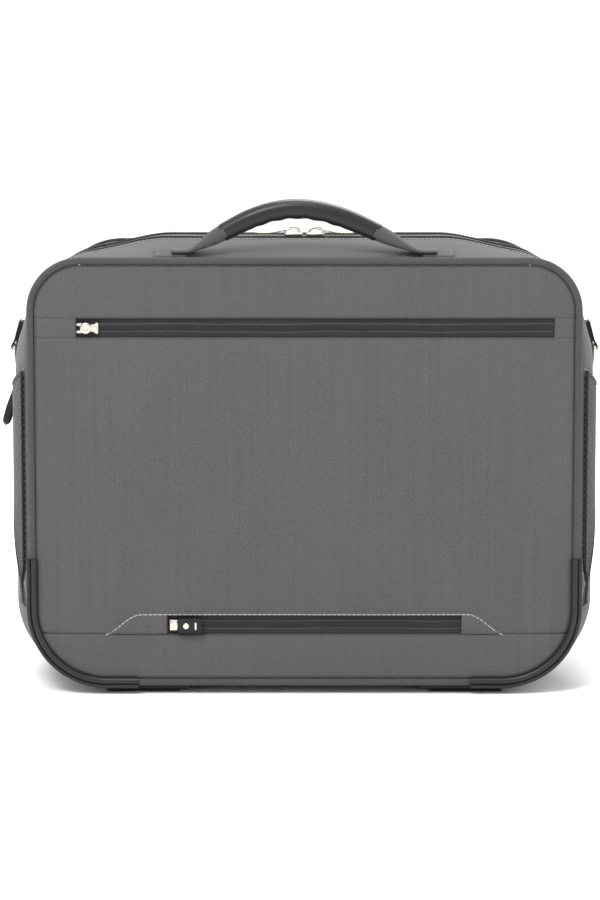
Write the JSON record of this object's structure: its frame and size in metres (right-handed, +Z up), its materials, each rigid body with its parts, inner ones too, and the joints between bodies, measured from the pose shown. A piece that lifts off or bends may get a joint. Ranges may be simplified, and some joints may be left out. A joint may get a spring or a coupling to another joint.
{
  "type": "rolling laptop case",
  "caption": "Padded fabric laptop case with grab handle, zipped pockets, rubber corner guards, shoulder-strap rings, recessed rear wheels and a pull-out handle.",
  "frame": {"origin": "middle of the case's box on the floor that its wheels and front feet stand on", "axes": "+Z up, -Y out of the front panel, +X to the right as seen from the front"},
  "size_m": [0.4642, 0.2063, 0.3856],
  "materials": {
    "case_fabric": "warm mid-grey polyester with a fine diagonal twill",
    "piping_fabric": "the case fabric cut on the bias round a cord",
    "dark_piping": "black fabric piping",
    "mesh_fabric": "dark grey diamond mesh over foam",
    "lining_fabric": "plain dark lining",
    "guard_rubber": "semi-gloss moulded rubber",
    "zip_tape": "woven black tape",
    "zip_coil": "black nylon coil",
    "webbing": "ribbed grey webbing",
    "black_webbing": "ribbed black webbing",
    "black_plastic": "moulded, fine spark texture",
    "grip_rubber": "soft-touch moulding",
    "puller_rubber": "soft black rubber",
    "satin_nickel": "satin nickel plate",
    "screw_steel": "zinc plated",
    "wheel_plastic": "moulded hub",
    "tyre": "solid polyurethane tread",
    "tube_aluminium": "anodised tube",
    "grip_plastic": "moulded, soft-touch",
    "button_plastic": "moulded button"
  },
  "bodies": {
    "case": {"back_panel": "case_fabric", "rear_piping": "dark_piping", "rear_top_gusset": "case_fabric", "rear_left_gusset": "case_fabric", "rear_right_gusset": "case_fabric", "base_panel": "case_fabric", "base_board": "lining_fabric", "back_lining_board": "lining_fabric", "laptop_sleeve": "lining_fabric", "main_zip_rear_tape": "zip_tape", "laptop_zip": "zip_tape", "ring_loops": "black_webbing", "front_feet": "black_plastic", "foot_screws": "screw_steel", "skid_rails": "black_plastic", "left_wheel_housing": "black_plastic", "right_wheel_housing": "black_plastic", "wheel_axles": "screw_steel", "outer_tubes": "tube_aluminium", "handle_bezel": "black_plastic"},
    "front_half": {"front_panel": "case_fabric", "front_piping": "piping_fabric", "front_top_gusset": "case_fabric", "front_left_gusset": "case_fabric", "front_right_gusset": "case_fabric", "left_mesh_panel": "mesh_fabric", "right_mesh_panel": "mesh_fabric", "pocket_lining": "lining_fabric", "front_board": "lining_fabric", "left_corner_guard": "guard_rubber", "right_corner_guard": "guard_rubber", "upper_zip_tape": "zip_tape", "upper_zip_coil": "zip_coil", "lower_zip_tape": "zip_tape", "lower_zip_coil": "zip_coil", "pocket_welt": "case_fabric", "main_zip_front_tape": "zip_tape", "handle_tabs": "webbing", "handle_anchor_plate": "black_plastic"},
    "grab_handle": {"handle_strap": "webbing", "handle_grip": "grip_rubber"},
    "upper_slider": {"upper_zip_slider": "satin_nickel"},
    "lower_slider": {"lower_zip_slider": "satin_nickel"},
    "lower_pull": {"lower_zip_pull": "puller_rubber"},
    "left_slider": {"main_slider_left": "satin_nickel"},
    "left_pull": {"main_pull_left": "satin_nickel"},
    "right_slider": {"main_slider_right": "satin_nickel"},
    "right_pull": {"main_pull_right": "satin_nickel"},
    "side_zip_slider": {"side_slider": "satin_nickel"},
    "side_zip_pull": {"side_pull": "puller_rubber"},
    "left_ring": {"left_d_ring": "satin_nickel"},
    "right_ring": {"right_d_ring": "satin_nickel"},
    "left_wheel": {"left_wheel_hub": "wheel_plastic", "left_wheel_tyre": "tyre"},
    "right_wheel": {"right_wheel_hub": "wheel_plastic", "right_wheel_tyre": "tyre"},
    "middle_stage": {"middle_tubes": "tube_aluminium"},
    "inner_stage": {"inner_tubes": "tube_aluminium", "pull_grip": "grip_plastic"},
    "button": {"release_button": "button_plastic"}
  },
  "joints": [
    {"name": "front_opening", "type": "hinge", "parent": "case", "child": "front_half", "pos_m": [0, -0.089, 0.009], "axis": [1, 0, 0], "range_deg": [0, 75]},
    {"name": "handle_swing", "type": "hinge", "parent": "front_half", "child": "grab_handle", "pos_m": [0, -0.08, 0.34296], "axis": [1, 0, 0], "range_deg": [-48, 48], "deforming": ["handle_strap"]},
    {"name": "upper_zip_slide", "type": "slide", "parent": "front_half", "child": "upper_slider", "axis": [1, 0, 0], "range_m": [0, 0.345]},
    {"name": "lower_zip_slide", "type": "slide", "parent": "front_half", "child": "lower_slider", "axis": [1, 0, 0], "range_m": [0, 0.205]},
    {"name": "lower_pull_turn", "type": "hinge", "parent": "lower_slider", "child": "lower_pull", "pos_m": [-0.0985, -0.1003, 0.0545], "axis": [0, 0, -1], "range_deg": [0, 110]},
    {"name": "left_zip_slide", "type": "slide", "parent": "front_half", "child": "left_slider", "axis": [-1, 0, 0], "range_m": [0, 0.06]},
    {"name": "left_pull_turn", "type": "hinge", "parent": "left_slider", "child": "left_pull", "pos_m": [-0.01, -0.01, 0.3538], "axis": [0, 1, 0], "range_deg": [0, 110]},
    {"name": "right_zip_slide", "type": "slide", "parent": "front_half", "child": "right_slider", "axis": [1, 0, 0], "range_m": [0, 0.06]},
    {"name": "right_pull_turn", "type": "hinge", "parent": "right_slider", "child": "right_pull", "pos_m": [0.01, -0.01, 0.3538], "axis": [0, -1, 0], "range_deg": [0, 110]},
    {"name": "side_zip_slide", "type": "slide", "parent": "case", "child": "side_zip_slider", "axis": [0, 0, -1], "range_m": [0, 0.1]},
    {"name": "side_pull_turn", "type": "hinge", "parent": "side_zip_slider", "child": "side_zip_pull", "pos_m": [-0.2288, 0.03, 0.238], "axis": [0, 1, 0], "range_deg": [0, 80]},
    {"name": "left_ring_swing", "type": "hinge", "parent": "case", "child": "left_ring", "pos_m": [-0.2285, 0.01, 0.259], "axis": [0, 1, 0], "range_deg": [0, 90]},
    {"name": "right_ring_swing", "type": "hinge", "parent": "case", "child": "right_ring", "pos_m": [0.2285, 0.01, 0.259], "axis": [0, -1, 0], "range_deg": [0, 90]},
    {"name": "left_wheel_spin", "type": "hinge", "parent": "case", "child": "left_wheel", "pos_m": [-0.178, 0.073, 0.031], "axis": [1, 0, 0], "continuous": true},
    {"name": "right_wheel_spin", "type": "hinge", "parent": "case", "child": "right_wheel", "pos_m": [0.178, 0.073, 0.031], "axis": [1, 0, 0], "continuous": true},
    {"name": "lower_stage_slide", "type": "slide", "parent": "case", "child": "middle_stage", "axis": [0, 0, 1], "range_m": [0, 0.27]},
    {"name": "upper_stage_slide", "type": "slide", "parent": "middle_stage", "child": "inner_stage", "axis": [0, 0, 1], "range_m": [0, 0.27]},
    {"name": "button_press", "type": "slide", "parent": "inner_stage", "child": "button", "axis": [0, 0, -1], "range_m": [0, 0.003], "stiffness_N_per_m": 900}
  ]
}
